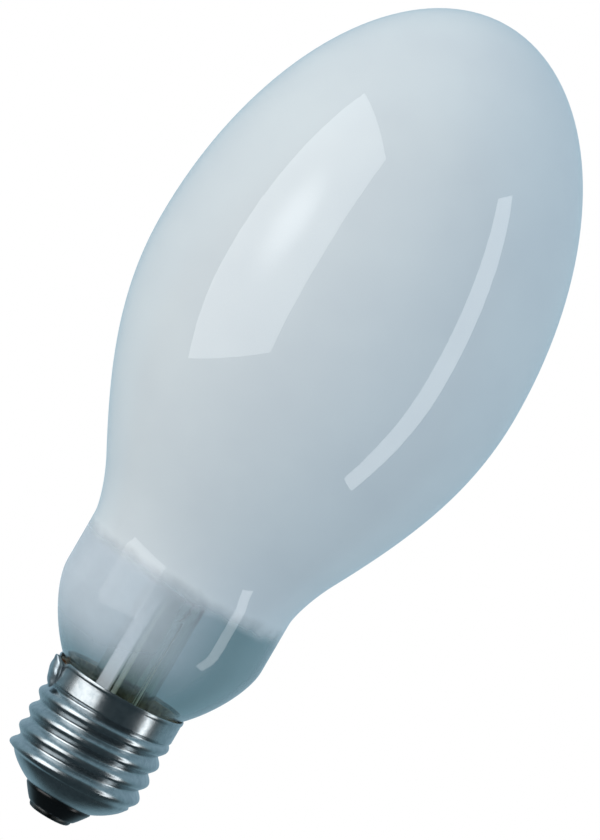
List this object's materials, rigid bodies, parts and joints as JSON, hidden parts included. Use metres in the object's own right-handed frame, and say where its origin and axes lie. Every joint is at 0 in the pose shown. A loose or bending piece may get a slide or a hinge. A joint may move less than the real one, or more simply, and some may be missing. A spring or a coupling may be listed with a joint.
{
  "type": "high intensity discharge lamp",
  "caption": "Coated ellipsoidal discharge lamp on a 27 mm screw cap, with a clear neck that shows the glass stem and a quartz arc tube held in a wire frame inside.",
  "frame": {"origin": "on the lamp's axis, at the outer face of the centre contact", "axes": "+Z along the lamp's axis, from the centre contact to the tip of the dome; -X towards the side solder"},
  "size_m": [0.075, 0.075, 0.169],
  "materials": {
    "glass": "clear blown glass, smooth",
    "coating": "matt white powder film",
    "cap_metal": "bright nickel-plated sheet, lightly dulled",
    "insulator": "black fused glass",
    "contact_metal": "tinned brass",
    "solder": "dull solder",
    "cement": "grey-brown basing cement",
    "copper": "bare copper wire",
    "support_metal": "nickel-plated steel",
    "quartz": "clear fused quartz",
    "tungsten": "dark grey drawn tungsten",
    "foil_metal": "thin molybdenum foil",
    "ceramic_body": "white steatite"
  },
  "bodies": {
    "root": {"bulb_envelope": "glass", "phosphor_coating": "coating", "cap_shell": "cap_metal", "cap_insulator": "insulator", "centre_contact": "contact_metal", "contact_solder": "solder", "side_solder": "solder", "cement_ring": "cement", "stem": "glass", "exhaust_tube": "glass", "centre_lead": "copper", "side_lead": "copper", "frame_wire": "support_metal", "support_lead": "support_metal", "dome_spring": "support_metal", "arc_tube": "quartz", "upper_electrode": "tungsten", "lower_electrode": "tungsten", "starting_electrode": "tungsten", "upper_foil": "foil_metal", "lower_foil": "foil_metal", "starting_foil": "foil_metal", "upper_lead": "foil_metal", "lower_lead": "foil_metal", "starting_lead": "foil_metal", "upper_strap": "support_metal", "lower_strap": "support_metal", "upper_ribbon": "support_metal", "lower_ribbon": "support_metal", "starting_ribbon": "support_metal", "resistor_body": "ceramic_body", "resistor_ends": "support_metal"}
  },
  "joints": []
}
